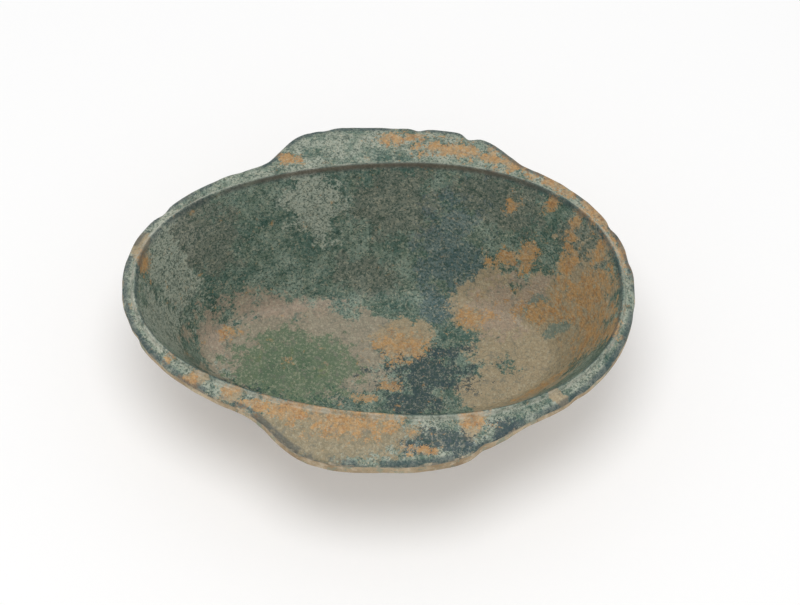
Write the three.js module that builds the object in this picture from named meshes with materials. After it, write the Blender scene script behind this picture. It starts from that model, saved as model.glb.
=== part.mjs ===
// A small oval wine cup with two ears, pressed in a mould from coarse earthenware.
// A green lead glaze covers the inside, the lip, the rim band and the tops of the ears.
// Each ear is a flat crescent, luted to the edge of the rim along one long side of the cup.
//
// Sizes are in millimetres. X runs along the cup, Y across it from ear to ear, and Z is up.
// The origin is on the table, under the middle of the cup's outline.

import * as THREE from "three";
import { mergeVertices } from "three/addons/utils/BufferGeometryUtils.js";

// Heights
const CUP_HEIGHT = 34;
const FOOT_HEIGHT = 2;
const FLOOR_THICKNESS = 3;

// The lip: a narrow ridge round the mouth. Its inner edge is a rounded oval.
const LIP_HALF_LENGTH = 52.1;
const LIP_HALF_WIDTH = 31.5;
const LIP_SQUARENESS = 2.2;
const LIP_WIDTH = 1;
const LIP_RISE = 0.9;
const LIP_INNER_DROP = 0.3;

// The rim band: a flat border round the lip, which slopes down outwards.
const BAND_AT_ENDS = 2.9;
const BAND_AT_SIDES = 5.3;
const BAND_SQUARENESS = 2.1;
const BAND_SLOPE = THREE.MathUtils.degToRad(3);
const RIM_EDGE = 3.2;

// The ears. Their outline is a short wide oval, which crosses the long narrow one of the rim.
// They were cut by hand, so they differ: the back one has squarer shoulders.
const BACK_EAR = { halfLength: 29.4, squareness: 3.9 };
const FRONT_EAR = { halfLength: 33, squareness: 2.8 };
const EAR_REACH = 6.2;
const EAR_SHIFT = 3;
const EAR_DROOP = 1.3;
const EAR_EDGE = 4;
const EAR_THICKENS_OVER = 3;
const EAR_BLEND = 4;

// The wall runs inwards and down from the lip, and turns smoothly into the flat floor.
const WALL_RUN_AT_ENDS = 15;
const WALL_RUN_AT_SIDES = 17.5;
const FLOOR_SQUARENESS = 2.1;
const INNER_TUCK = 0.28;
const OUTER_TUCK = 0.3;
const BASE_MARGIN = 1.2;
const RIM_UNDERCUT = 1;

// The foot: a low oval pad under the floor.
const FOOT_INSET = 0.6;
const FOOT_TAPER = 0.7;

// Finish of the edges, and the glaze, which thins out to nothing at the outer edge.
const EDGE_ROUND = 0.6;
const GLAZE_THICKNESS = 0.4;
const GLAZE_FEATHER = 1.2;

// The cup is a little egg-shaped: towards +X it is wider by this share, and towards -X narrower.
const END_FULLNESS = 0.07;

// How finely the surfaces are divided
const END_STEPS = 9;
const EAR_STEPS = 26;
const FLOOR_SHARES = [0, 0.5, 1];
const INNER_WALL_STEPS = 6;
const OUTER_WALL_STEPS = 5;
const TIP_SEARCH_STEPS = 50;
const WELD_DISTANCE = 1e-4;

// Sizes that follow from the ones above
const RIM_HALF_LENGTH = LIP_HALF_LENGTH + BAND_AT_ENDS;
const RIM_HALF_WIDTH = LIP_HALF_WIDTH + BAND_AT_SIDES;
const EAR_HALF_WIDTH = RIM_HALF_WIDTH + EAR_REACH;
const FLOOR_HALF_LENGTH = LIP_HALF_LENGTH - WALL_RUN_AT_ENDS;
const FLOOR_HALF_WIDTH = LIP_HALF_WIDTH - WALL_RUN_AT_SIDES;
const FLOOR_TOP = FOOT_HEIGHT + FLOOR_THICKNESS + GLAZE_THICKNESS;
const EAR_SPAN = EAR_HALF_WIDTH - LIP_HALF_WIDTH - LIP_WIDTH;

// Distance from the middle to a rounded oval, in the direction of an angle
function oval(angle, halfLength, halfWidth, squareness) {
  const along = Math.abs(Math.cos(angle) / halfLength) ** squareness;
  const across = Math.abs(Math.sin(angle) / halfWidth) ** squareness;
  return (along + across) ** (-1 / squareness);
}

// The larger of two lengths, with a smooth change from one to the other
function smoothLarger(first, second, blend) {
  const overlap = Math.max(blend - Math.abs(first - second), 0);
  return Math.max(first, second) + overlap ** 2 / (4 * blend);
}

// The same for an oval that is fuller at one end, as the cup itself is
function eggOval(angle, halfLength, halfWidth, squareness) {
  return oval(angle, halfLength, halfWidth * (1 + END_FULLNESS * Math.cos(angle)), squareness);
}

function rimRadius(angle) {
  return eggOval(angle, RIM_HALF_LENGTH, RIM_HALF_WIDTH, BAND_SQUARENESS);
}

// The ears reach a little further towards the full end
function earRadius(angle) {
  const ear = Math.sin(angle) > 0 ? BACK_EAR : FRONT_EAR;
  const halfLength = ear.halfLength + EAR_SHIFT * Math.sign(Math.cos(angle));
  return oval(angle, halfLength, EAR_HALF_WIDTH, ear.squareness);
}

// Every distance from the middle that a section through the cup needs at one angle
function outlinesAt(angle) {
  const floor = eggOval(angle, FLOOR_HALF_LENGTH, FLOOR_HALF_WIDTH, FLOOR_SQUARENESS);
  const rim = rimRadius(angle);
  return {
    angle,
    floor,
    base: floor + BASE_MARGIN,
    lip: eggOval(angle, LIP_HALF_LENGTH, LIP_HALF_WIDTH, LIP_SQUARENESS),
    rim,
    edge: smoothLarger(rim, earRadius(angle), EAR_BLEND),
  };
}

// The angle at which the ear's outline leaves the rim, between an end of the cup and its side
function earTipAngle(endAngle, sideAngle) {
  let onRim = endAngle;
  let onEar = sideAngle;
  for (let step = 0; step < TIP_SEARCH_STEPS; step += 1) {
    const middle = (onRim + onEar) / 2;
    if (earRadius(middle) + EAR_BLEND > rimRadius(middle)) {
      onEar = middle;
    } else {
      onRim = middle;
    }
  }
  return onRim;
}

function anglesBetween(start, end, steps) {
  return Array.from({ length: steps + 1 }, (_, index) => start + ((end - start) * index) / steps);
}

// A point of a section: its distance from the middle, its height, and the way its surface faces
function knot(radius, height, facing = [0, 1]) {
  return { radius, height, facing };
}

// A point on a curved wall, from its foot (share 0) to its top (share 1)
function wallKnot(foot, top, tuck, share) {
  const run = top.radius - foot.radius;
  const rise = top.height - foot.height;
  const across = 2 * tuck * share * (1 - share) + share ** 2;
  const slopeAcross = 2 * tuck * (1 - 2 * share) + 2 * share;
  const slopeUp = 2 * share;
  const length = Math.hypot(run * slopeAcross, rise * slopeUp);
  const facing = [(-rise * slopeUp) / length, (run * slopeAcross) / length];
  return knot(foot.radius + run * across, foot.height + rise * share ** 2, facing);
}

// Height of the finished band and ears: one surface, which falls away faster further out
function bandHeight(outlines, radius) {
  const distance = radius - outlines.lip - LIP_WIDTH;
  const drop = distance * Math.tan(BAND_SLOPE) + EAR_DROOP * (distance / EAR_SPAN) ** 2;
  return CUP_HEIGHT - LIP_RISE - drop;
}

function bandKnot(outlines, radius) {
  return knot(radius, bandHeight(outlines, radius));
}

// Full thickness inside, and thinner within the feather's width of the outer edge
function glazeThicknessAt(outlines, radius) {
  const distance = outlines.edge - EDGE_ROUND - radius;
  return GLAZE_THICKNESS * THREE.MathUtils.clamp(distance / GLAZE_FEATHER, 0, 1);
}

// The finished surface that is seen from above, from the floor's middle to the ear's edge
function finishedLine(outlines) {
  const foot = knot(outlines.floor, FLOOR_TOP);
  const top = knot(outlines.lip, CUP_HEIGHT - LIP_INNER_DROP);
  const line = FLOOR_SHARES.map((share) => knot(outlines.floor * share, FLOOR_TOP));
  for (let step = 1; step <= INNER_WALL_STEPS; step += 1) {
    line.push(wallKnot(foot, top, INNER_TUCK, step / INNER_WALL_STEPS));
  }
  line.push(knot(outlines.lip + LIP_WIDTH / 2, CUP_HEIGHT));
  line.push(bandKnot(outlines, outlines.lip + LIP_WIDTH));
  line.push(bandKnot(outlines, outlines.rim - EDGE_ROUND - GLAZE_FEATHER));
  const rimTop = outlines.rim - EDGE_ROUND;
  const earTop = outlines.edge - EDGE_ROUND;
  line.push(bandKnot(outlines, rimTop));
  line.push(bandKnot(outlines, Math.max(rimTop, earTop - GLAZE_FEATHER)));
  line.push(bandKnot(outlines, earTop));
  return line;
}

// The clay under the glaze
function clayLine(outlines) {
  return finishedLine(outlines).map(({ radius, height, facing }) => {
    const thickness = glazeThicknessAt(outlines, radius);
    return knot(radius - thickness * facing[0], height - thickness * facing[1]);
  });
}

// A rounded outer edge, from just under its top to its underside
function edgeLine(outlines, radius, thickness, undercut) {
  const top = bandHeight(outlines, radius);
  return [
    knot(radius, top - EDGE_ROUND),
    knot(radius, top - thickness + EDGE_ROUND),
    knot(radius - undercut, top - thickness),
  ];
}

function rimEdgeLine(outlines) {
  return edgeLine(outlines, outlines.rim, RIM_EDGE, RIM_UNDERCUT);
}

function earEdgeLine(outlines) {
  const share = THREE.MathUtils.clamp((outlines.edge - outlines.rim) / EAR_THICKENS_OVER, 0, 1);
  const thickness = THREE.MathUtils.lerp(RIM_EDGE, EAR_EDGE, share);
  return edgeLine(outlines, outlines.edge, thickness, RIM_UNDERCUT);
}

// The outside of the bowl, from the rim's underside to the middle of its base
function outsideLine(outlines) {
  const foot = knot(outlines.base, FOOT_HEIGHT);
  const top = rimEdgeLine(outlines).at(-1);
  const line = [];
  for (let step = OUTER_WALL_STEPS - 1; step >= 0; step -= 1) {
    line.push(wallKnot(foot, top, OUTER_TUCK, step / OUTER_WALL_STEPS));
  }
  line.push(knot(0, FOOT_HEIGHT));
  return line;
}

// Turns one section per angle into rows of points, each row going round the cup
function rowsOf(angles, lineAt) {
  const lines = angles.map((angle) => {
    const section = lineAt(outlinesAt(angle));
    return section.map(({ radius, height }) => new THREE.Vector3(
      radius * Math.cos(angle),
      radius * Math.sin(angle),
      height,
    ));
  });
  return lines[0].map((_, row) => lines.map((line) => line[row]));
}

// Triangles between each row and the next. Flipped, they face the other way.
function skin(rows, flipped = false) {
  const triangles = [];
  for (let row = 0; row + 1 < rows.length; row += 1) {
    const near = rows[row];
    const far = rows[row + 1];
    for (let column = 0; column + 1 < near.length; column += 1) {
      triangles.push([near[column], far[column], far[column + 1]]);
      triangles.push([near[column], far[column + 1], near[column + 1]]);
    }
  }
  return flipped ? triangles.map((corners) => corners.toReversed()) : triangles;
}

// One closed body from its skins: equal corners are welded, and triangles without area dropped
function bodyOf(...skins) {
  const corners = skins.flat(2).flatMap((point) => point.toArray());
  const loose = new THREE.BufferGeometry();
  loose.setAttribute("position", new THREE.Float32BufferAttribute(corners, 3));
  const geometry = mergeVertices(loose, WELD_DISTANCE);
  const index = geometry.getIndex().array;
  const kept = [];
  for (let start = 0; start < index.length; start += 3) {
    const [a, b, c] = index.slice(start, start + 3);
    if (a !== b && b !== c && c !== a) {
      kept.push(a, b, c);
    }
  }
  geometry.setIndex(kept);
  geometry.computeVertexNormals();
  return geometry;
}

function clayMaterial(color) {
  return new THREE.MeshStandardMaterial({ color, roughness: 0.9, metalness: 0 });
}

function namedMesh(name, geometry, material) {
  const mesh = new THREE.Mesh(geometry, material);
  mesh.name = name;
  return mesh;
}

// The angles of the sections, anticlockwise from the full end
const FULL_TURN = 2 * Math.PI;
const BACK_SIDE = Math.PI / 2;
const SLIM_END = Math.PI;
const FRONT_SIDE = 3 * Math.PI / 2;

const backEarAngles = anglesBetween(
  earTipAngle(0, BACK_SIDE),
  earTipAngle(SLIM_END, BACK_SIDE),
  EAR_STEPS,
);
const frontEarAngles = anglesBetween(
  earTipAngle(SLIM_END, FRONT_SIDE),
  earTipAngle(FULL_TURN, FRONT_SIDE),
  EAR_STEPS,
);
const allAngles = [
  ...anglesBetween(0, backEarAngles[0], END_STEPS),
  ...backEarAngles.slice(1),
  ...anglesBetween(backEarAngles.at(-1), SLIM_END, END_STEPS).slice(1),
  ...anglesBetween(SLIM_END, frontEarAngles[0], END_STEPS).slice(1),
  ...frontEarAngles.slice(1),
  ...anglesBetween(frontEarAngles.at(-1), FULL_TURN, END_STEPS).slice(1),
];

// The pressed bowl: clay under the glaze as far as the rim, its edge, and the bare outside
function makeBowl() {
  const line = (outlines) => [
    ...clayLine(outlines).slice(0, -2),
    ...rimEdgeLine(outlines),
    ...outsideLine(outlines),
  ];
  return bodyOf(skin(rowsOf(allAngles, line)));
}

// An ear: its top and outer edge are its own, and its inner face lies against the rim's edge
function makeEar(angles) {
  const rimTop = (outlines) => clayLine(outlines).slice(-3, -2);
  const rimFace = (outlines) => [...rimTop(outlines), ...rimEdgeLine(outlines)];
  const outside = (outlines) => [
    ...clayLine(outlines).slice(-3),
    ...earEdgeLine(outlines),
    rimEdgeLine(outlines).at(-1),
  ];
  return bodyOf(skin(rowsOf(angles, outside)), skin(rowsOf(angles, rimFace), true));
}

// The glaze: one thin skin between the finished surface and the clay, over the bowl and ears
function makeGlaze() {
  const top = skin(rowsOf(allAngles, finishedLine));
  const underside = skin(rowsOf(allAngles, clayLine), true);
  return bodyOf(top, underside);
}

// The foot: a low pad that the flat base of the bowl is luted onto
function makeFoot() {
  const line = ({ base }) => [
    knot(0, FOOT_HEIGHT),
    knot(base - FOOT_INSET, FOOT_HEIGHT),
    knot(base - FOOT_INSET - FOOT_TAPER, 0),
    knot(0, 0),
  ];
  return bodyOf(skin(rowsOf(allAngles, line)));
}

const cup = new THREE.Group();
cup.add(namedMesh("foot", makeFoot(), clayMaterial(0xb59f80)));
cup.add(namedMesh("bowl", makeBowl(), clayMaterial(0xbfa98a)));
cup.add(namedMesh("ear_back", makeEar(backEarAngles), clayMaterial(0xc2ac8b)));
cup.add(namedMesh("ear_front", makeEar(frontEarAngles), clayMaterial(0xc9b38f)));

const glazeMaterial = new THREE.MeshStandardMaterial({ color: 0x5e7566, roughness: 0.45, metalness: 0 });
cup.add(namedMesh("glaze", makeGlaze(), glazeMaterial));

export default cup;
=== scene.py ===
import math

import bmesh
import bpy
import numpy as np
from mathutils import Matrix, Vector, noise


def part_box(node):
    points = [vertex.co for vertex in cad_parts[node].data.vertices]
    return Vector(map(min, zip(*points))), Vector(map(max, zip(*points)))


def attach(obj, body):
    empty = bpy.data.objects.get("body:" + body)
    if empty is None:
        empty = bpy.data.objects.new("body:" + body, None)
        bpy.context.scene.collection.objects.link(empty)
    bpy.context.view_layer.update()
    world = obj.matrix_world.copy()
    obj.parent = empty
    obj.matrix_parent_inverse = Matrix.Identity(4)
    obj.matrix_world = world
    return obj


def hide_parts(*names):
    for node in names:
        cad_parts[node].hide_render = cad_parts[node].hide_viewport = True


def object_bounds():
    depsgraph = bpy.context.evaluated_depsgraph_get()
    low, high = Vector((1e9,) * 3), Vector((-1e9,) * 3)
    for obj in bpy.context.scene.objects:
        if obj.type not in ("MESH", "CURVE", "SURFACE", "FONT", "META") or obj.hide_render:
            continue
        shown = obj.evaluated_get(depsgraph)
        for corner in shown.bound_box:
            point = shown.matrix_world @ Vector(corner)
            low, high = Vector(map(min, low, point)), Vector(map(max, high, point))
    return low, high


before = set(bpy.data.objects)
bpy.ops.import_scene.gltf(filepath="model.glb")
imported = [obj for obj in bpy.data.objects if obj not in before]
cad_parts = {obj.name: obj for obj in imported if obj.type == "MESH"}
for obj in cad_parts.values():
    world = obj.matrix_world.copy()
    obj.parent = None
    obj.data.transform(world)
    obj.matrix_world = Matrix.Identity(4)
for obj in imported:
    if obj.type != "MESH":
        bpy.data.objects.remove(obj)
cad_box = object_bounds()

# A small oval wine cup with two ears: coarse low-fired clay under a worn green lead glaze.
# X runs along the cup, Y across it from ear to ear, and Z is up. Shapes are worked out in
# millimetres, by the same formulas as the frame's, and turned into metres as meshes are made.
MM = 0.001

# Sizes read from the frame
HALF_LENGTH = cad_box[1][0] / MM
EAR_HALF_WIDTH = cad_box[1][1] / MM
CUP_HEIGHT = cad_box[1][2] / MM
FOOT_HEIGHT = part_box("foot")[1][2] / MM

# Lip and rim band
BAND_AT_ENDS = 2.9
BAND_AT_SIDES = 5.3
BAND_SQUARENESS = 2.1
BAND_SLOPE = math.radians(3)
EAR_REACH = 6.2
LIP_HALF_LENGTH = HALF_LENGTH - BAND_AT_ENDS
LIP_HALF_WIDTH = EAR_HALF_WIDTH - EAR_REACH - BAND_AT_SIDES
LIP_SQUARENESS = 2.2
LIP_WIDTH = 1.0
LIP_RISE = 0.9
LIP_INNER_DROP = 0.3
LIP_CROWN = 0.5

# The ears: half length and squareness of each outline, and how both join the rim
BACK_EAR = (29.4, 3.9)
FRONT_EAR = (33.0, 2.8)
EAR_SHIFT = 3.0
EAR_DROOP = 1.3
EAR_BLEND = 4.0
EAR_EDGE = 4.0
EAR_THICKENS_OVER = 3.0
EAR_SPAN = EAR_HALF_WIDTH - LIP_HALF_WIDTH - LIP_WIDTH
SEAM_DEPTH = 0.22
SEAM_WIDTH = 0.8

# The outer edge. The cup is a little fuller at its +X end.
RIM_EDGE = 3.2
EDGE_ROUND = 0.6
RIM_UNDERCUT = 1.0
END_FULLNESS = 0.07

# Wall, floor and foot
WALL_RUN_AT_ENDS = 15.0
WALL_RUN_AT_SIDES = 17.5
FLOOR_SQUARENESS = 2.1
FLOOR_THICKNESS = 3.0
INNER_TUCK = 0.28
OUTER_TUCK = 0.3
BASE_MARGIN = 1.2
FOOT_INSET = 0.6
FOOT_TAPER = 0.7

# The glaze: thick inside, thin over the edges, and it ends in a wandering line on the edge
GLAZE_THICKNESS = 0.4
GLAZE_AT_EDGE = 0.14
GLAZE_FEATHER = 1.2
HIDDEN_GAP = 0.02
SHORTEST_RUN = 0.05
LONGEST_RUN = 0.5
RUN_MEAN = 0.45
RUN_WAVES = 7
RUN_RIPPLES = 3.1
RUN_RIPPLE_SHARE = 0.6

# Hand-made unevenness: its depth, the size of its lumps, and their place in the noise. It fades
# out towards the middle within the calm radius, and the sag is how much of it is upright.
WARP = (0.35, 17.0, Vector((0, 0, 0)))
DENTS = (0.22, 3.2, Vector((31, 7, 3)))
GRAIN = (0.05, 0.9, Vector((5, 11, 23)))
CALM_RADIUS = 12
SAG_SHARE = 0.4

# The outer edge is worn, and chipped in a few places: x, y, size and depth of each chip
EDGE_WEAR = 0.45
EDGE_WEAR_SIZE = 4.0
EDGE_WEAR_REACH = 2.2
EDGE_WEAR_SHARPNESS = 1.5
EDGE_WEAR_PLACE = Vector((17, 29, 2))
CHIPS = [
    (19.6, 41.5, 1.7, 1.1), (8, 43, 1.4, 0.5), (-13, 43, 2, 0.5), (23.5, -38.5, 2.2, 0.9),
    (-27, -39, 1.6, 0.6), (-47, 18, 1.6, 0.6), (-52, -13, 1.3, 0.6), (50, 17, 1.5, 0.5),
    (43, -26, 1.6, 0.5),
]

# How finely the surfaces are divided
END_STEPS = 48
EAR_STEPS = 116
TIP_SEARCH_STEPS = 50
FLOOR_ROWS = 22
WALL_ROWS = 48
LIP_ROWS = 7
BAND_ROWS = 20
ROUND_ROWS = 5
RUN_ROWS = 4
SIDE_ROWS = 4
OUTSIDE_ROWS = 44
FOOT_ROWS = 6

# Points closer than the weld, in metres, become one. A length to divide by is never less than
# the tiny one.
WELD = 2e-7
TINY = 1e-9


def oval(angle, half_length, half_width, squareness):
    """Distance from the middle to a rounded oval, in the direction of an angle."""
    along = np.abs(np.cos(angle) / half_length) ** squareness
    across = np.abs(np.sin(angle) / half_width) ** squareness
    return (along + across) ** (-1 / squareness)


def egg_oval(angle, half_length, half_width, squareness):
    """The same for an oval that is fuller at its +X end."""
    return oval(angle, half_length, half_width * (1 + END_FULLNESS * np.cos(angle)), squareness)


def rim_radius(angle):
    half_width = LIP_HALF_WIDTH + BAND_AT_SIDES
    return egg_oval(angle, HALF_LENGTH, half_width, BAND_SQUARENESS)


def lip_radius(angle):
    return egg_oval(angle, LIP_HALF_LENGTH, LIP_HALF_WIDTH, LIP_SQUARENESS)


def floor_radius(angle):
    half_length = LIP_HALF_LENGTH - WALL_RUN_AT_ENDS
    half_width = LIP_HALF_WIDTH - WALL_RUN_AT_SIDES
    return egg_oval(angle, half_length, half_width, FLOOR_SQUARENESS)


def ear_radius(angle):
    """The ears' outline, which reaches a little further towards the full end."""
    back = np.sin(angle) > 0
    half_length = np.where(back, BACK_EAR[0], FRONT_EAR[0]) + EAR_SHIFT * np.sign(np.cos(angle))
    squareness = np.where(back, BACK_EAR[1], FRONT_EAR[1])
    return oval(angle, half_length, EAR_HALF_WIDTH, squareness)


def edge_radius(angle):
    """The outer edge of the rim and the ears, with a smooth change from one to the other."""
    rim = rim_radius(angle)
    ear = ear_radius(angle)
    overlap = np.maximum(EAR_BLEND - np.abs(rim - ear), 0)
    return np.maximum(rim, ear) + overlap ** 2 / (4 * EAR_BLEND)


def ear_share(angle):
    """0 where there is only the rim, and 1 where the ear has its full thickness."""
    return np.clip((edge_radius(angle) - rim_radius(angle)) / EAR_THICKENS_OVER, 0, 1)


def ear_tip_angle(end_angle, side_angle):
    """The angle at which an ear's outline leaves the rim."""
    on_rim = end_angle
    on_ear = side_angle
    for _ in range(TIP_SEARCH_STEPS):
        middle = (on_rim + on_ear) / 2
        if ear_radius(middle) + EAR_BLEND > rim_radius(middle):
            on_ear = middle
        else:
            on_rim = middle
    return on_rim


# The angles of the sections, anticlockwise from the full end
QUARTER_TURN = math.pi / 2
BACK = QUARTER_TURN
SLIM_END = 2 * QUARTER_TURN
FRONT = 3 * QUARTER_TURN
FULL_TURN = 4 * QUARTER_TURN
back_angles = np.linspace(ear_tip_angle(0, BACK), ear_tip_angle(SLIM_END, BACK), EAR_STEPS)
front_angles = np.linspace(
    ear_tip_angle(SLIM_END, FRONT), ear_tip_angle(FULL_TURN, FRONT), EAR_STEPS
)
all_angles = np.concatenate([
    np.linspace(0, back_angles[0], END_STEPS)[:-1],
    back_angles,
    np.linspace(back_angles[-1], front_angles[0], 2 * END_STEPS)[1:-1],
    front_angles,
    np.linspace(front_angles[-1], FULL_TURN, END_STEPS)[1:],
])


def band_height(angle, radius):
    """Height of the finished band and ears, one surface with a faint seam where an ear joins."""
    distance = radius - lip_radius(angle) - LIP_WIDTH
    drop = distance * math.tan(BAND_SLOPE) + EAR_DROOP * (distance / EAR_SPAN) ** 2
    seam = np.exp(-((radius - rim_radius(angle)) / SEAM_WIDTH) ** 2)
    return CUP_HEIGHT - LIP_RISE - drop - SEAM_DEPTH * ear_share(angle) * seam


def wall_point(foot, top, tuck, share):
    """A point on a curved wall, from its foot at share 0 to its top at share 1."""
    across = 2 * tuck * share * (1 - share) + share ** 2
    radius = foot[0] + (top[0] - foot[0]) * across
    height = foot[1] + (top[1] - foot[1]) * share ** 2
    return radius, height


def stacked(points):
    """Rows of radius and height as two arrays, one row of numbers for each point."""
    radius = np.array([np.broadcast_to(point[0], points[0][0].shape) for point in points])
    height = np.array([np.broadcast_to(point[1], points[0][0].shape) for point in points])
    return radius, height


def rounded_edge(radius, top):
    """A quarter circle from the top of an edge to its side."""
    points = []
    for turn in np.linspace(0, QUARTER_TURN, ROUND_ROWS):
        out = radius - EDGE_ROUND * (1 - math.sin(turn))
        points.append((out, top - EDGE_ROUND * (1 - math.cos(turn))))
    return points


def glaze_run(angle):
    """How far down the side of the edge the glaze has run."""
    waves = []
    for value in angle:
        place = Vector((RUN_WAVES * math.cos(value), RUN_WAVES * math.sin(value), 0))
        waves.append(noise.noise(place) + RUN_RIPPLE_SHARE * noise.noise(RUN_RIPPLES * place))
    return SHORTEST_RUN + (LONGEST_RUN - SHORTEST_RUN) * np.clip(RUN_MEAN + np.array(waves), 0, 1)


def finished_points(angle):
    """The surface that is seen from above, from the floor's middle to the glaze's last line."""
    floor = floor_radius(angle)
    lip = lip_radius(angle)
    edge = edge_radius(angle)
    floor_top = FOOT_HEIGHT + FLOOR_THICKNESS + GLAZE_THICKNESS
    points = [(floor * share, floor_top) for share in np.linspace(0, 1, FLOOR_ROWS)]

    lip_inside = CUP_HEIGHT - LIP_INNER_DROP
    for share in np.linspace(0, 1, WALL_ROWS)[1:]:
        points.append(wall_point((floor, floor_top), (lip, lip_inside), INNER_TUCK, share))

    lip_outside = band_height(angle, lip + LIP_WIDTH)
    crown = CUP_HEIGHT + LIP_CROWN
    for share in np.linspace(0, 1, LIP_ROWS)[1:-1]:
        ends = (1 - share) ** 2 * lip_inside + share ** 2 * lip_outside
        points.append((lip + share * LIP_WIDTH, ends + 2 * share * (1 - share) * crown))

    for share in np.linspace(0, 1, BAND_ROWS):
        radius = lip + LIP_WIDTH + (edge - EDGE_ROUND - lip - LIP_WIDTH) * share
        points.append((radius, band_height(angle, radius)))

    top = band_height(angle, edge - EDGE_ROUND)
    points += rounded_edge(edge, top)[1:]
    run = glaze_run(angle)
    for share in np.linspace(0, 1, RUN_ROWS)[1:]:
        points.append((edge, top - EDGE_ROUND - run * share))
    return points


def sunk(radius, height, depth):
    """Rows moved into the clay by a depth, square to their own surface."""
    along_radius = np.gradient(radius, axis=0)
    along_height = np.gradient(height, axis=0)
    length = np.maximum(np.hypot(along_radius, along_height), TINY)
    return radius + depth * along_height / length, height - depth * along_radius / length


def glaze_depth(angle, radius):
    """Full thickness inside, and a thin coat over the outer edge."""
    share = np.clip((edge_radius(angle) - EDGE_ROUND - radius) / GLAZE_FEATHER, 0, 1)
    return GLAZE_AT_EDGE + (GLAZE_THICKNESS - GLAZE_AT_EDGE) * share


def edge_points(angle, radius, thickness):
    """An edge of clay under its glaze, from its rounded top down to its underside."""
    top = band_height(angle, radius - EDGE_ROUND)
    bottom = top - thickness
    inset = radius - GLAZE_AT_EDGE - HIDDEN_GAP
    points = [(out - GLAZE_AT_EDGE, up - HIDDEN_GAP) for out, up in rounded_edge(radius, top)]
    for share in np.linspace(0, 1, SIDE_ROWS):
        points.append((inset, top - EDGE_ROUND - share * (thickness - 2 * EDGE_ROUND)))
    for turn in np.linspace(0, QUARTER_TURN, ROUND_ROWS)[1:]:
        out = inset - RIM_UNDERCUT * (1 - math.cos(turn))
        points.append((out, bottom + EDGE_ROUND * (1 - math.sin(turn))))
    return points


def lump(place, size, noise_place):
    """Noise from 0 to 1, with lumps of a size in millimetres."""
    return 0.5 + 0.5 * noise.noise(place / size + noise_place)


def chip_depth(points):
    """How deep the chips are at each point."""
    chipped = np.zeros(len(points))
    for chip_x, chip_y, size, depth in CHIPS:
        away = np.hypot(points[:, 0] - chip_x, points[:, 1] - chip_y) / size
        chipped = np.maximum(chipped, depth * np.exp(-away ** 2))
    return chipped


def uneven(points):
    """Moves points inwards, high ones also down and low ones up, so none leaves the cup's box."""
    moved = np.empty_like(points)
    angle = np.arctan2(points[:, 1], points[:, 0])
    from_edge = edge_radius(angle) - np.hypot(points[:, 0], points[:, 1])
    wear = EDGE_WEAR * np.clip(1 - from_edge / EDGE_WEAR_REACH, 0, 1)
    chipped = chip_depth(points)
    for index, (x, y, z) in enumerate(points):
        place = Vector((x, y, z))
        inward = sum(depth * lump(place, size, where) for depth, size, where in (WARP, DENTS, GRAIN))
        bite = noise.noise(place / EDGE_WEAR_SIZE + EDGE_WEAR_PLACE)
        inward += wear[index] * max(bite, 0) ** EDGE_WEAR_SHARPNESS + chipped[index]
        shrink = 1 - inward / max(math.hypot(x, y), CALM_RADIUS)
        high = min(max((z - FOOT_HEIGHT) / CUP_HEIGHT, 0), 1)
        sag = SAG_SHARE * inward
        moved[index] = (x * shrink, y * shrink, z - high * sag + (1 - high) * sag)
    return moved


def rows_to_mesh(name, angle, points, closed_ring):
    """A closed mesh from rows of points, each row going round the cup."""
    radius, height = stacked(points)
    x = radius * np.cos(angle)
    y = radius * np.sin(angle)
    corners = np.stack([x, y, height], axis=-1).reshape(-1, 3)
    corners = uneven(corners) * MM
    rows, columns = radius.shape
    faces = []
    last = rows if closed_ring else rows - 1
    for row in range(last):
        here = row * columns
        there = (row + 1) % rows * columns
        for column in range(columns - 1):
            faces.append((here + column, there + column, there + column + 1, here + column + 1))
    mesh = bpy.data.meshes.new(name)
    mesh.from_pydata(corners.tolist(), [], faces)
    body = bmesh.new()
    body.from_mesh(mesh)
    bmesh.ops.remove_doubles(body, verts=body.verts, dist=WELD)
    bmesh.ops.dissolve_degenerate(body, edges=body.edges, dist=WELD)
    bmesh.ops.recalc_face_normals(body, faces=body.faces)
    body.to_mesh(mesh)
    body.free()
    mesh.shade_smooth()
    return mesh


def glaze_mesh():
    """The finished surface, and below it the same surface sunk by the glaze's depth. Both have
    their last row in common, where the glaze thins out to nothing."""
    radius, height = stacked(finished_points(all_angles))
    depth = glaze_depth(all_angles, radius)
    depth[-1] = 0
    under_radius, under_height = sunk(radius, height, depth)
    top = list(zip(radius, height))
    under = list(zip(under_radius, under_height))
    return rows_to_mesh("glaze_skin", all_angles, top + under[-2::-1], False)


def clay_points(angle, outer):
    """Rows of clay just under the glaze, up to a distance from the middle."""
    radius, height = stacked(finished_points(angle))
    depth = glaze_depth(angle, radius) + HIDDEN_GAP
    radius, height = sunk(radius, height, depth)
    # The floor and the wall share a row, the lip shares both its end rows with its neighbours,
    # and the band's last row is left to the edge
    rows = FLOOR_ROWS + (WALL_ROWS - 1) + (LIP_ROWS - 2) + (BAND_ROWS - 1)
    points = list(zip(radius, height))[:rows]
    return [(np.minimum(out, outer), up) for out, up in points]


def bowl_mesh():
    """The pressed bowl: clay under the glaze, the rim's edge and the bare outside."""
    angle = all_angles
    rim = rim_radius(angle)
    side = edge_points(angle, rim, RIM_EDGE)
    points = clay_points(angle, rim - EDGE_ROUND - GLAZE_AT_EDGE) + side
    foot = (floor_radius(angle) + BASE_MARGIN, FOOT_HEIGHT)
    for share in np.linspace(1, 0, OUTSIDE_ROWS)[1:]:
        points.append(wall_point(foot, side[-1], OUTER_TUCK, share))
    points.append((0 * rim, FOOT_HEIGHT))
    return rows_to_mesh("bowl_clay", angle, points, False)


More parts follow.
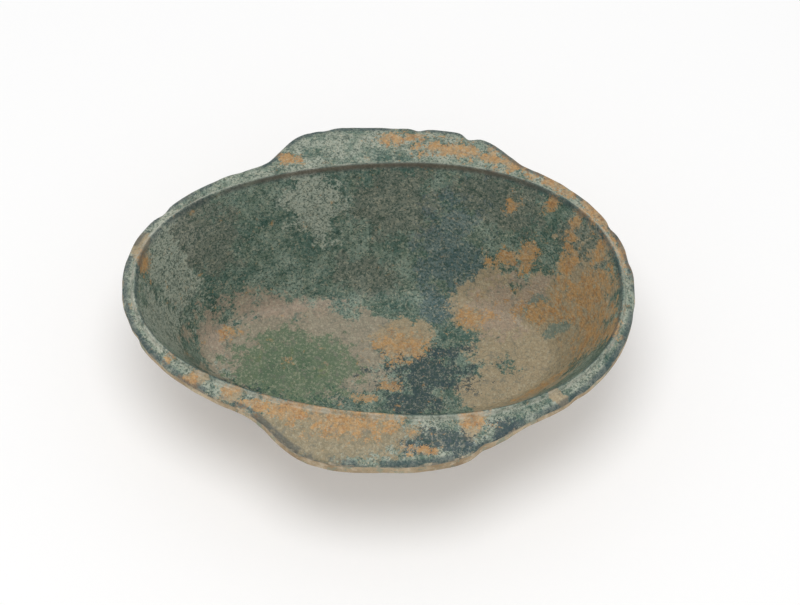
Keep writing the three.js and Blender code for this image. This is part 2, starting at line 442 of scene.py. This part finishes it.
def ear_mesh(name, angle):
    """An ear: its top and outer edge are its own, and its inner face lies on the rim's edge."""
    thickness = RIM_EDGE + (EAR_EDGE - RIM_EDGE) * ear_share(angle)
    inner = edge_points(angle, rim_radius(angle), RIM_EDGE)
    outer = edge_points(angle, edge_radius(angle), thickness)
    top = []
    for share in np.linspace(0, 1, BAND_ROWS):
        radius = inner[0][0] + (outer[0][0] - inner[0][0]) * share
        height = band_height(angle, radius) - GLAZE_AT_EDGE
        top.append((radius, np.minimum(height, outer[0][1] + EAR_DROOP)))
    return rows_to_mesh(name, angle, top + outer[1:] + inner[:0:-1], True)


def foot_mesh():
    """The foot: a low pad with a side that rounds inwards."""
    angle = all_angles
    base = floor_radius(angle) + BASE_MARGIN - FOOT_INSET
    points = [(0 * base, FOOT_HEIGHT), (base, FOOT_HEIGHT)]
    for share in np.linspace(0, 1, FOOT_ROWS)[1:]:
        points.append((base - FOOT_TAPER * share ** 2, FOOT_HEIGHT * (1 - share)))
    for share in np.linspace(1, 0, FOOT_ROWS)[1:]:
        points.append(((base - FOOT_TAPER) * share, 0 * base))
    return rows_to_mesh("foot_clay", angle, points, False)


# Patches of colour, each an oval in plan: middle x, y, half length, half width, turn in degrees
PATCHES = {
    # Painted light: paler where the walls catch light and sheen, mostly at the left end
    "lit_wall": [
        (-15, 26, 6, 4, 0), (-45, 11, 6, 9, 0), (-46.5, -4, 4.4, 9, 0), (-33, -4, 3.4, 6, 0),
    ],
    "smear": [
        (-38, 17, 7, 5, 0), (3, 27, 9, 4, 0), (26, 26, 9, 3, -20), (-4, 18, 7, 3, 0),
        (44, 14, 4, 7, 20),
    ],
    "blue": [
        (15, 21, 7, 6, 0), (8.3, -38.5, 2.4, 1.4, 0), (17.5, -37.4, 3.4, 1.6, 0), (14, 12, 5, 3, 0),
    ],
    "tan": [
        (36, 4, 14, 12, 0), (-51, 9, 2, 4, 0), (29, -9, 13, 6.5, 0), (6, 4, 7, 5, 10),
        (22, 13, 8, 5, 20), (-39, -24, 4, 2, 25), (-30, -27, 3, 1.6, 12), (20, -33, 2.6, 3.6, 0),
        (38, -26, 2.6, 1.2, -32),
    ],
    "ring": [(-17.5, 0.5, 21, 11.6, 3), (-2, 6, 6, 4, 0)],
    "pink": [(27, 11, 6, 5, 0), (-22, 11, 11, 2, 4), (-36, 3, 3.4, 4, 0), (34, 13, 4, 2, 0)],
    "pool": [(-19, -3.6, 13.5, 9.6, 0)],
    "dark": [
        (11, -4.6, 9.4, 5.2, 8), (14, 1, 6, 2, 10), (9, -12, 6, 3, 0), (-30, -12, 8, 3, -14),
        (14, -37, 8, 2.4, 0), (27, -34, 3, 3, 0),
    ],
    "isles": [(34.2, 10.5, 2.6, 1.8, 0), (38, 5.5, 1.8, 1.3, 0), (40.8, 5, 1.3, 1, 0)],
    "ochre": [(-14, -36, 20, 6.4, 0), (-2, -35, 8, 4, 0)],
    "orange": [
        (4.5, 39, 5, 1.8, 0), (15, 36.3, 8, 2, -4), (26, 33.8, 7, 2, -16), (37, 28.6, 7, 2, -36),
        (46.5, 20.5, 5.4, 2, -52), (52.6, 11, 1.8, 5.4, 8), (-20, 33, 2.4, 1.3, 0),
        (-50.4, 6.2, 1.2, 1.8, 0), (-39.2, -23.6, 1.8, 1.1, 20), (-30.7, -26, 1.6, 1, 10),
        (-20, -30.4, 9, 1.8, -8), (-5, -33.8, 9, 2.6, -3), (42.5, 19.5, 1.4, 1.2, 0),
        (41, 17, 1.2, 1.8, 0), (40.5, 13.5, 1.8, 2.6, 0), (47.5, 12.5, 1.2, 1.8, 0),
        (45, 7, 5, 3, -30), (46, -1.5, 3.4, 5.4, 8), (28.5, 25.5, 1.4, 1, 0), (28, 19, 3, 1.2, -10),
        (5.5, 2.6, 5, 3, 0), (-19.5, -1.2, 1.2, 0.8, 0), (-32.5, 4.6, 2, 1.2, 0),
        (21, -32.6, 2.6, 1.8, 0), (36, 9.5, 6, 1.6, -20), (21, 10, 3, 2, 0), (36, -9, 5, 1.6, 20),
        (10, -39, 2.4, 1, 0), (-27, -34, 3, 1.2, -50), (-44, -19, 1.4, 0.9, 40),
        (32, 18, 2.4, 1.6, 0), (37, 23.5, 1.6, 1, 0), (49.5, -8, 1.6, 3, 10),
        (-2.5, -11, 2, 0.9, 0), (3, -8, 2.6, 1, 10),
    ],
}
LOWEST_FIELD = -1.5


def patch_field(x, y, patches):
    """1 in the middle of a patch, 0 on its outline, and less further out."""
    field = np.full_like(x, LOWEST_FIELD)
    for middle_x, middle_y, half_length, half_width, turn in patches:
        cosine = math.cos(math.radians(turn))
        sine = math.sin(math.radians(turn))
        along = ((x - middle_x) * cosine + (y - middle_y) * sine) / half_length
        across = ((y - middle_y) * cosine - (x - middle_x) * sine) / half_width
        field = np.maximum(field, 1 - np.hypot(along, across))
    return field


def write_fields(mesh):
    """Stores on the mesh what its material reads: the patches, and where each point lies."""
    corners = np.empty(3 * len(mesh.vertices))
    mesh.vertices.foreach_get("co", corners)
    x, y, z = corners.reshape(-1, 3).T / MM
    angle = np.arctan2(y, x)
    radius = np.hypot(x, y)
    fields = {name: patch_field(x, y, patches) for name, patches in PATCHES.items()}
    fields["from_lip"] = radius - lip_radius(angle)
    fields["from_edge"] = edge_radius(angle) - radius
    fields["backness"] = np.sin(angle)
    fields["height"] = z
    for name, values in fields.items():
        attribute = mesh.attributes.new(name, "FLOAT", "POINT")
        attribute.data.foreach_set("value", values.astype(np.float32))
    around = np.stack([angle * LIP_HALF_WIDTH, z, np.zeros_like(z)], axis=-1)
    unrolled = mesh.attributes.new("unrolled", "FLOAT_VECTOR", "POINT")
    unrolled.data.foreach_set("vector", around.astype(np.float32).ravel())


def srgb(red, green, blue):
    """A colour as a screen shows it, turned into the linear values that Blender works in."""
    linear = []
    for value in (red, green, blue):
        share = value / 255
        linear.append(share / 12.92 if share <= 0.04045 else ((share + 0.055) / 1.055) ** 2.4)
    return (*linear, 1)


DEEP_GREEN = srgb(64, 94, 84)
SAGE = srgb(136, 151, 136)
MOSS = srgb(96, 112, 94)
PALE_SAGE = srgb(158, 165, 150)
# Painted light: the tint of the walls where they catch light
LIT_WALL_TINT = srgb(184, 188, 172)
BLOOM = srgb(188, 182, 158)
SPECK_GREEN = srgb(34, 62, 54)
RING_TAN = srgb(158, 144, 124)
POOL_GREEN = srgb(90, 114, 86)
POOL_DEEP = srgb(62, 92, 66)
POOL_YELLOW = srgb(136, 142, 84)
# Also the colour of the painted shade just inside the lip
DARK_TEAL = srgb(38, 58, 66)
TAN = srgb(166, 148, 118)
PINK = srgb(166, 146, 128)
ISLE_TEAL = srgb(108, 128, 118)
OCHRE = srgb(148, 131, 100)
ORANGE = srgb(188, 144, 90)
ORANGE_DEEP = srgb(158, 112, 68)
# Painted shade: the brown just under the lip at the back
LIP_SHADE_BROWN = srgb(84, 72, 56)
SMEAR = srgb(112, 112, 100)
BLUE = srgb(86, 104, 114)
# Painted highlight: the whitish tint along the lip's crest
LIP_HIGHLIGHT_TINT = srgb(208, 205, 190)
CLAY = srgb(206, 187, 156)
CLAY_DARK = srgb(164, 142, 112)
CLAY_PALE = srgb(220, 206, 180)
SOIL = srgb(126, 110, 88)
WHITE = (1, 1, 1, 1)

# The patches in the order they are painted: tint, how ragged, size of the ragged parts, strength
PATCH_COATS = {
    # Painted light and sheen on the walls
    "lit_wall": (LIT_WALL_TINT, 4.6, 5, 0.6),
    "smear": (SMEAR, 4, 5, 0.6),
    "blue": (BLUE, 5, 4, 0.5),
    "ring": (RING_TAN, 2.4, 5, 0.85),
    "tan": (TAN, 3, 6, 0.9),
    "pink": (PINK, 5, 3, 0.7),
    "pool": (POOL_GREEN, 2.6, 3, 0.85),
    "dark": (DARK_TEAL, 6, 3, 0.85),
    "isles": (ISLE_TEAL, 3, 1.5, 0.8),
    "ochre": (OCHRE, 2.6, 4, 0.85),
    "orange": (ORANGE, 8, 2.2, 0.85),
}
BARE_PATCHES = ("tan", "ring", "pink", "ochre", "orange")
FIRST_PATCH_SEED = 10
PATCH_SOFTNESS = 0.08

# The outline of a patch wanders, and finer grains are added to that: detail and roughness of both
WANDER_NOISE = (8, 0.72)
GRAINS_NOISE = (4, 0.7)
GRAINS_FINER_BY = 7
GRAINS_SHARE = 0.5
GRAINS_SEED = 0.5

# Spots of noise: size in mm, detail, roughness, seed, the noise where spots start and where they
# are full, and their strength
SPOTS = {
    "clouds": (10, 9, 0.74, 0, 0.4, 0.6, 1),
    "moss": (3, 8, 0.75, 1, 0.46, 0.58, 0.6),
    "pale_streaks": (3, 7, 0.7, 2, 0.54, 0.66, 0.5),
    "dark_streaks": (2, 7, 0.7, 3, 0.53, 0.64, 0.6),
    "thin_glaze": (4, 9, 0.76, 4, 0.4, 0.56, 1),
    "pool_blotches": (2.5, 7, 0.7, 25, 0.42, 0.58, 0.6),
    "pool_yellow": (3, 5, 0.6, 28, 0.54, 0.68, 0.6),
    "deep_orange": (1.2, 7, 0.75, 26, 0.5, 0.6, 0.75),
    "faded_orange": (2.4, 7, 0.75, 27, 0.5, 0.58, 0.6),
    "bloom": (0.55, 4, 0.7, 30, 0.5, 0.62, 0.42),
    "clots": (1.5, 7, 0.8, 31, 0.53, 0.6, 0.6),
    "rust_specks": (2.4, 7, 0.74, 32, 0.61, 0.66, 0.55),
    "green_specks": (0.42, 4, 0.7, 33, 0.5, 0.57, 0.72),
    "stains": (1.2, 7, 0.75, 34, 0.52, 0.62, 0.6),
    # Painted highlight along the lip's crest
    "lip_highlight": (4, 6, 0.7, 40, 0.4, 0.6, 0.4),
    "gathered": (5, 5, 0.6, 41, 0.38, 0.5, 0.6),
    # Painted shade: a dark line just inside the lip
    "inside_lip_shade": (5, 6, 0.7, 42, 0.36, 0.52, 0.55),
    "clay_clouds": (7, 7, 0.65, 0, 0.35, 0.65, 1),
    "clay_pale": (2, 6, 0.7, 1, 0.5, 0.66, 0.6),
    "clay_soil": (3.4, 7, 0.7, 2, 0.58, 0.68, 0.7),
    "clay_pits": (0.6, 3, 0.6, 3, 0.6, 0.7, 0.6),
    "clay_splashes": (3.4, 7, 0.74, 4, 0.52, 0.58, 0.7),
}

# Upright streaks are noise whose height is shortened by this
STREAK_STRETCH = 0.22

# Zones of the wall and the lip, in mm outwards from the lip's inner edge. Each side of a zone is
# where the zone starts and where it is full.
BAND_FROM = (-0.6, 0.6)
WALL_FROM = (-17, -9)
WALL_TO = (0.4, -0.6)
# Painted shade: a dark line just inside the lip
INSIDE_LIP_SHADE_FROM = (-1.1, -0.4)
INSIDE_LIP_SHADE_TO = (0.25, -0.2)
# Painted highlight along the lip's crest
LIP_HIGHLIGHT_FROM = (-0.1, 0.35)
LIP_HIGHLIGHT_TO = (1.1, 0.6)
# Painted shade, in brown, just under the lip
SHADE_UNDER_LIP_FROM = (-0.9, -0.4)
SHADE_UNDER_LIP_TO = (0.2, -0.3)

# The brown painted shade under the lip is at the back only, by the sine of the angle
SHADE_UNDER_LIP_AT_BACK = (0.3, 0.9)
SHADE_UNDER_LIP_STRENGTH = 0.7

# The middle of the pool, where its field starts to count and where it counts in full
POOL_MIDDLE = (0.1, 0.8)

# Thick glaze has gathered within so many mm of the outer edge
GATHERED_WITHIN = (1.8, 1.1)

# The glaze is rubbed off where the way to the edge, less noise times its reach in mm, is below this
RUBBED_NOISE = (3, 8, 0.74, 43)
RUBBED_REACH = 3.2
RUBBED_BELOW = (-1.2, -1.5)
RUBBED_STRENGTH = 0.85

# How much of the green specks is lost where the patches are bare
BARE_LOSES = 0.72

# A fine net of cracks: its size in mm, and its widths in shares of that size
CRACK_SIZE = 1.3
CRACK_LINE = (0.07, 0.01)
CRACK_STRENGTH = 0.16
CRACK_SIDES = (0, 0.09)
CRACK_BUMP = 0.4
CRACK_DEPTH = 0.06

# Gloss and relief. A relief is the size, detail, roughness and seed of its noise, then its
# strength and its depth in mm.
GLOSS_NOISE = (3, 6, 0.6, 50)
GLAZE_SMOOTHEST = 0.34
GLAZE_ROUGHEST = 0.78
GLAZE_SPECULAR = 0.35
GLAZE_RELIEFS = [((0.45, 4, 0.7, 60), 0.5, 0.16), ((2.4, 7, 0.7, 61), 0.6, 0.5)]
CLAY_ROUGHNESS = 0.88
CLAY_SPECULAR = 0.25
CLAY_RELIEFS = [((0.5, 4, 0.7, 5), 0.5, 0.15), ((3, 6, 0.65, 6), 0.6, 0.4)]

# Splashes of glaze on the clay, by their height in mm above the table
SPLASHES_ABOVE = (22, 31)

# Each clay has a seed of its own, so that no two pieces carry the same clouds
CLAY_SEEDS = {"bowl": 70, "ear_back": 80, "ear_front": 90, "foot": 100}


class Paint:
    """Short calls that add nodes to one material, coat upon coat."""

    def __init__(self, name, seed=0):
        self.material = bpy.data.materials.new(name)
        self.material.use_nodes = True
        self.nodes = self.material.node_tree.nodes
        self.links = self.material.node_tree.links
        self.shader = self.nodes["Principled BSDF"]
        self.coordinates = self.nodes.new("ShaderNodeTexCoord").outputs["Object"]
        self.seed = seed
        self.colour = None
        self.normal = None

    def put(self, socket, value):
        """Links a socket to another one, or sets its number or colour."""
        if isinstance(value, bpy.types.NodeSocket):
            self.links.new(value, socket)
        else:
            socket.default_value = value

    def field(self, name, output="Fac"):
        """A value that the mesh carries at each point."""
        node = self.nodes.new("ShaderNodeAttribute")
        node.attribute_name = name
        return node.outputs[output]

    def upright(self):
        """Millimetres round the cup and up it, drawn out so that noise makes upright streaks."""
        node = self.nodes.new("ShaderNodeVectorMath")
        node.operation = "MULTIPLY"
        self.put(node.inputs[0], self.field("unrolled", "Vector"))
        node.inputs[1].default_value = (1, STREAK_STRETCH, 1)
        return node.outputs["Vector"]

    def cloud(self, size, detail, rough, seed, streaked=False):
        """Noise from 0 to 1 whose features are about a size in millimetres."""
        node = self.nodes.new("ShaderNodeTexNoise")
        node.noise_dimensions = "4D"
        self.put(node.inputs["Vector"], self.upright() if streaked else self.coordinates)
        node.inputs["W"].default_value = self.seed + seed
        node.inputs["Scale"].default_value = 1 / size if streaked else 1 / (size * MM)
        node.inputs["Detail"].default_value = detail
        node.inputs["Roughness"].default_value = rough
        return node.outputs["Fac"]

    def cracks(self, size):
        """Distance to the nearest crack, in shares of the size."""
        jitter = self.nodes.new("ShaderNodeTexNoise")
        self.put(jitter.inputs["Vector"], self.coordinates)
        jitter.inputs["Scale"].default_value = 1 / (size * MM)
        push = self.nodes.new("ShaderNodeVectorMath")
        push.operation = "MULTIPLY_ADD"
        self.put(push.inputs[0], jitter.outputs["Color"])
        push.inputs[1].default_value = (size * MM,) * 3
        self.put(push.inputs[2], self.coordinates)
        node = self.nodes.new("ShaderNodeTexVoronoi")
        node.voronoi_dimensions = "4D"
        node.feature = "DISTANCE_TO_EDGE"
        self.put(node.inputs["Vector"], push.outputs["Vector"])
        node.inputs["Scale"].default_value = 1 / (size * MM)
        return node.outputs["Distance"]

    def step(self, value, start, full):
        """0 before start, 1 beyond full, and smooth between them. Start may be the larger."""
        node = self.nodes.new("ShaderNodeMapRange")
        node.interpolation_type = "SMOOTHSTEP"
        self.put(node.inputs["Value"], value)
        node.inputs["From Min"].default_value = start
        node.inputs["From Max"].default_value = full
        return node.outputs["Result"]

    def calculate(self, operation, first, second):
        node = self.nodes.new("ShaderNodeMath")
        node.operation = operation
        self.put(node.inputs[0], first)
        self.put(node.inputs[1], second)
        return node.outputs["Value"]

    def times(self, first, *others):
        for other in others:
            first = self.calculate("MULTIPLY", first, other)
        return first

    def plus(self, first, second):
        return self.calculate("ADD", first, second)

    def zone(self, value, rise, fall):
        """A zone that fades in over one range of a value and out over another."""
        return self.times(self.step(value, *rise), self.step(value, *fall))

    def spots(self, name, streaked=False):
        """Spots of one of the kinds listed above."""
        size, detail, rough, seed, start, full, strength = SPOTS[name]
        spots = self.step(self.cloud(size, detail, rough, seed, streaked), start, full)
        return self.times(spots, strength)

    def swing(self, size, detail, rough, seed):
        """The same noise from -0.5 to 0.5."""
        return self.plus(self.cloud(size, detail, rough, seed), -0.5)

    def patch(self, name, ragged, size, seed):
        """A patch with an outline that noise makes ragged."""
        wander = self.swing(size, *WANDER_NOISE, seed)
        grains = self.swing(size / GRAINS_FINER_BY, *GRAINS_NOISE, seed + GRAINS_SEED)
        shift = self.plus(self.times(wander, ragged), self.times(grains, GRAINS_SHARE * ragged))
        return self.step(self.plus(self.field(name), shift), -PATCH_SOFTNESS, PATCH_SOFTNESS)

    def coat(self, share, tint, ground=None):
        """Paints a tint over the colour so far, or over a ground."""
        node = self.nodes.new("ShaderNodeMix")
        node.data_type = "RGBA"
        self.put(node.inputs["Factor"], share)
        under_socket, over_socket = [socket for socket in node.inputs if socket.type == "RGBA"]
        self.put(under_socket, ground or self.colour)
        self.put(over_socket, tint)
        self.colour = next(socket for socket in node.outputs if socket.type == "RGBA")

    def bump(self, height, strength, depth):
        """Adds relief to the surface, with a depth in millimetres."""
        node = self.nodes.new("ShaderNodeBump")
        self.put(node.inputs["Height"], height)
        node.inputs["Strength"].default_value = strength
        node.inputs["Distance"].default_value = depth * MM
        if self.normal:
            self.put(node.inputs["Normal"], self.normal)
        self.normal = node.outputs["Normal"]

    def finish(self):
        """Hands the last coat and the relief to the shader."""
        self.put(self.shader.inputs["Base Color"], self.colour)
        self.put(self.shader.inputs["Normal"], self.normal)
        return self.material


def paint_ground(paint, from_lip):
    """Green in broad clouds and upright streaks, paler on the band and the ears."""
    paint.coat(paint.spots("clouds"), SAGE, DEEP_GREEN)
    paint.coat(paint.spots("moss"), MOSS)
    wall = paint.zone(from_lip, WALL_FROM, WALL_TO)
    paint.coat(paint.times(wall, paint.spots("pale_streaks", streaked=True)), SAGE)
    paint.coat(paint.times(wall, paint.spots("dark_streaks", streaked=True)), DEEP_GREEN)
    band = paint.step(from_lip, *BAND_FROM)
    paint.coat(paint.times(band, paint.spots("thin_glaze")), PALE_SAGE)


def paint_patches(paint):
    """The weathered patches, and painted light where the walls catch light and sheen. Returns how
    bare of sound glaze each place is.
    """
    shares = {}
    # The first patch is painted light, paler where the walls catch light and sheen. The others are
    # weathering.
    for index, name in enumerate(PATCH_COATS):
        tint, ragged, size, strength = PATCH_COATS[name]
        shares[name] = paint.patch(name, ragged, size, FIRST_PATCH_SEED + index)
        paint.coat(paint.times(shares[name], strength), tint)
    paint.coat(paint.times(shares["orange"], paint.spots("deep_orange")), ORANGE_DEEP)
    paint.coat(paint.times(shares["orange"], paint.spots("faded_orange")), TAN)
    pool_middle = paint.step(paint.field("pool"), *POOL_MIDDLE)
    paint.coat(paint.times(pool_middle, paint.spots("pool_blotches")), POOL_DEEP)
    paint.coat(paint.times(pool_middle, paint.spots("pool_yellow")), POOL_YELLOW)
    bare = 0
    for name in BARE_PATCHES:
        bare = paint.calculate("MAXIMUM", bare, shares[name])
    return bare


def paint_specks(paint, bare):
    """Pale bloom, dense green specks where the glaze is sound, and rust and stains from the soil."""
    paint.coat(paint.spots("bloom"), BLOOM)
    sound = paint.calculate("SUBTRACT", 1.0, paint.times(bare, BARE_LOSES))
    paint.coat(paint.times(paint.spots("green_specks"), sound), SPECK_GREEN)
    paint.coat(paint.times(paint.spots("clots"), sound), SPECK_GREEN)
    paint.coat(paint.spots("rust_specks"), ORANGE)
    paint.coat(paint.times(paint.spots("stains"), bare), SMEAR)


def paint_lip(paint, from_lip):
    """Painted shade: a dark line just inside the lip, and brown just under the lip at the back. A
    painted highlight along the lip's crest.
    """
    # Painted shade: a dark line just inside the lip
    line = paint.zone(from_lip, INSIDE_LIP_SHADE_FROM, INSIDE_LIP_SHADE_TO)
    paint.coat(paint.times(line, paint.spots("inside_lip_shade")), DARK_TEAL)
    # Painted highlight along the lip's crest
    crest = paint.zone(from_lip, LIP_HIGHLIGHT_FROM, LIP_HIGHLIGHT_TO)
    paint.coat(paint.times(crest, paint.spots("lip_highlight")), LIP_HIGHLIGHT_TINT)
    # Painted shade: brown just under the lip, at the back only
    below = paint.zone(from_lip, SHADE_UNDER_LIP_FROM, SHADE_UNDER_LIP_TO)
    at_back = paint.step(paint.field("backness"), *SHADE_UNDER_LIP_AT_BACK)
    paint.coat(paint.times(below, at_back, SHADE_UNDER_LIP_STRENGTH), LIP_SHADE_BROWN)


def paint_edge(paint):
    """The outer edge: rubbed down to the clay in places, then lined with gathered glaze."""
    from_edge = paint.field("from_edge")
    reach = paint.times(paint.cloud(*RUBBED_NOISE), RUBBED_REACH)
    rubbed = paint.step(paint.calculate("SUBTRACT", from_edge, reach), *RUBBED_BELOW)
    paint.coat(paint.times(rubbed, RUBBED_STRENGTH), CLAY)
    gathered = paint.step(from_edge, *GATHERED_WITHIN)
    paint.coat(paint.times(gathered, paint.spots("gathered")), DARK_TEAL)


def set_glaze_gloss(paint):
    """Dull and less dull places."""
    rough = paint.nodes.new("ShaderNodeMapRange")
    paint.put(rough.inputs["Value"], paint.cloud(*GLOSS_NOISE))
    rough.inputs["To Min"].default_value = GLAZE_SMOOTHEST
    rough.inputs["To Max"].default_value = GLAZE_ROUGHEST
    paint.put(paint.shader.inputs["Roughness"], rough.outputs["Result"])
    paint.shader.inputs["Specular IOR Level"].default_value = GLAZE_SPECULAR


def glaze_material():
    """Weathered green lead glaze, painted coat upon coat."""
    paint = Paint("worn_green_glaze")
    from_lip = paint.field("from_lip")
    cracks = paint.cracks(CRACK_SIZE)
    paint_ground(paint, from_lip)
    bare = paint_patches(paint)
    paint_specks(paint, bare)
    paint.coat(paint.times(paint.step(cracks, *CRACK_LINE), CRACK_STRENGTH), SPECK_GREEN)
    paint_lip(paint, from_lip)
    paint_edge(paint)
    set_glaze_gloss(paint)
    for relief, strength, depth in GLAZE_RELIEFS:
        paint.bump(paint.cloud(*relief), strength, depth)
    paint.bump(paint.step(cracks, *CRACK_SIDES), CRACK_BUMP, CRACK_DEPTH)
    return paint.finish()


def clay_material(node, tint):
    """Coarse clay with soil in its pits, and splashes of glaze high on the outside."""
    paint = Paint(node + "_earthenware", CLAY_SEEDS[node])
    paint.coat(paint.spots("clay_clouds"), tint, CLAY_DARK)
    paint.coat(paint.spots("clay_pale"), CLAY_PALE)
    paint.coat(paint.spots("clay_soil"), SOIL)
    paint.coat(paint.spots("clay_pits"), SOIL)
    high = paint.step(paint.field("height"), *SPLASHES_ABOVE)
    paint.coat(paint.times(high, paint.spots("clay_splashes")), SAGE)
    paint.shader.inputs["Roughness"].default_value = CLAY_ROUGHNESS
    paint.shader.inputs["Specular IOR Level"].default_value = CLAY_SPECULAR
    for relief, strength, depth in CLAY_RELIEFS:
        paint.bump(paint.cloud(*relief), strength, depth)
    return paint.finish()


def place(mesh, node, slot, material):
    """Makes the object, and hides the part of the frame that it stands for."""
    write_fields(mesh)
    piece = bpy.data.objects.new(mesh.name, mesh)
    bpy.context.scene.collection.objects.link(piece)
    mesh.materials.append(material)
    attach(piece, "root")
    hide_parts(node)


def place_clay(mesh, node, tint):
    place(mesh, node, "earthenware", clay_material(node, tint))


place(glaze_mesh(), "glaze", "green_glaze", glaze_material())
place_clay(bowl_mesh(), "bowl", CLAY)
place_clay(ear_mesh("ear_back_clay", back_angles), "ear_back", CLAY)
place_clay(ear_mesh("ear_front_clay", front_angles), "ear_front", CLAY)
place_clay(foot_mesh(), "foot", CLAY_DARK)


def background_ray(nodes, links):
    """1 for the rays that should see a white background, and 0 for those that light the object."""
    path = nodes.new("ShaderNodeLightPath")
    share = path.outputs["Is Camera Ray"]
    for name in ("Is Glossy Ray", "Is Transmission Ray"):
        either = nodes.new("ShaderNodeMath")
        either.operation = "MAXIMUM"
        links.new(share, either.inputs[0])
        links.new(path.outputs[name], either.inputs[1])
        share = either.outputs["Value"]
    return share


# A white floor that keeps the shadow. The lift makes it whiter for the background's rays only.
FLOOR_HALF_SIZE = 3.0
FLOOR_CORNERS = [(-1, -1), (1, -1), (1, 1), (-1, 1)]
FLOOR_WHITE = 0.8
FLOOR_LIFT = 0.19
FLOOR_ROUGHNESS = 0.9


def floor_material():
    paint = Paint("white_floor")
    paint.shader.inputs["Base Color"].default_value = (FLOOR_WHITE, FLOOR_WHITE, FLOOR_WHITE, 1)
    paint.shader.inputs["Roughness"].default_value = FLOOR_ROUGHNESS
    paint.shader.inputs["Specular IOR Level"].default_value = 0
    paint.shader.inputs["Emission Color"].default_value = WHITE
    lift = paint.times(background_ray(paint.nodes, paint.links), FLOOR_LIFT)
    paint.put(paint.shader.inputs["Emission Strength"], lift)
    return paint.material


floor_mesh = bpy.data.meshes.new("floor")
floor_corners = [(x * FLOOR_HALF_SIZE, y * FLOOR_HALF_SIZE, 0) for x, y in FLOOR_CORNERS]
floor_mesh.from_pydata(floor_corners, [], [(0, 1, 2, 3)])
floor_mesh.materials.append(floor_material())
floor = bpy.data.objects.new("floor", floor_mesh)
bpy.context.scene.collection.objects.link(floor)

# Soft light: an even sky, and a large lamp high above and a little in front. The lamp's share is
# how much of full white it would give a white surface that faces it at the origin.
SKY_STRENGTH = 0.6
LAMP_PLACE = Vector((-0.02, -0.11, 0.75))
LAMP_SIZE = 0.4
LAMP_SHARE = 0.46

world = bpy.data.worlds.new("soft_sky")
bpy.context.scene.world = world
world.use_nodes = True
sky_nodes = world.node_tree.nodes
sky_links = world.node_tree.links
sky = sky_nodes["Background"]
sky.inputs["Color"].default_value = WHITE
sky_range = sky_nodes.new("ShaderNodeMapRange")
sky_links.new(background_ray(sky_nodes, sky_links), sky_range.inputs["Value"])
sky_range.inputs["To Min"].default_value = SKY_STRENGTH
sky_range.inputs["To Max"].default_value = 1
sky_links.new(sky_range.outputs["Result"], sky.inputs["Strength"])

lamp_data = bpy.data.lights.new("soft_lamp", "AREA")
lamp_data.shape = "DISK"
lamp_data.size = LAMP_SIZE
lamp_data.energy = LAMP_SHARE * math.pi ** 2 * LAMP_PLACE.length_squared
lamp = bpy.data.objects.new("soft_lamp", lamp_data)
lamp.location = LAMP_PLACE
lamp.rotation_euler = (-LAMP_PLACE).to_track_quat("-Z", "Y").to_euler()
bpy.context.scene.collection.objects.link(lamp)

# The camera looks down at the front of the cup from far off
CAMERA_ELEVATION = math.radians(58)
CAMERA_ROLL = math.radians(1.25)
CAMERA_DISTANCE = 0.9
CAMERA_AIM = Vector((0.00459, -0.00416, 0.034))
CAMERA_LENS = 190.7
SENSOR_WIDTH = 36

camera_data = bpy.data.cameras.new("camera")
camera_data.sensor_fit = "HORIZONTAL"
camera_data.sensor_width = SENSOR_WIDTH
camera_data.lens = CAMERA_LENS
camera = bpy.data.objects.new("camera", camera_data)
bpy.context.scene.collection.objects.link(camera)
tilt = Matrix.Rotation(QUARTER_TURN - CAMERA_ELEVATION, 4, "X")
roll = Matrix.Rotation(CAMERA_ROLL, 4, "Z")
towards_camera = Vector((0, -math.cos(CAMERA_ELEVATION), math.sin(CAMERA_ELEVATION)))
camera.matrix_world = Matrix.Translation(CAMERA_AIM + CAMERA_DISTANCE * towards_camera) @ tilt @ roll
bpy.context.scene.camera = camera
bpy.context.scene.view_settings.view_transform = "Standard"
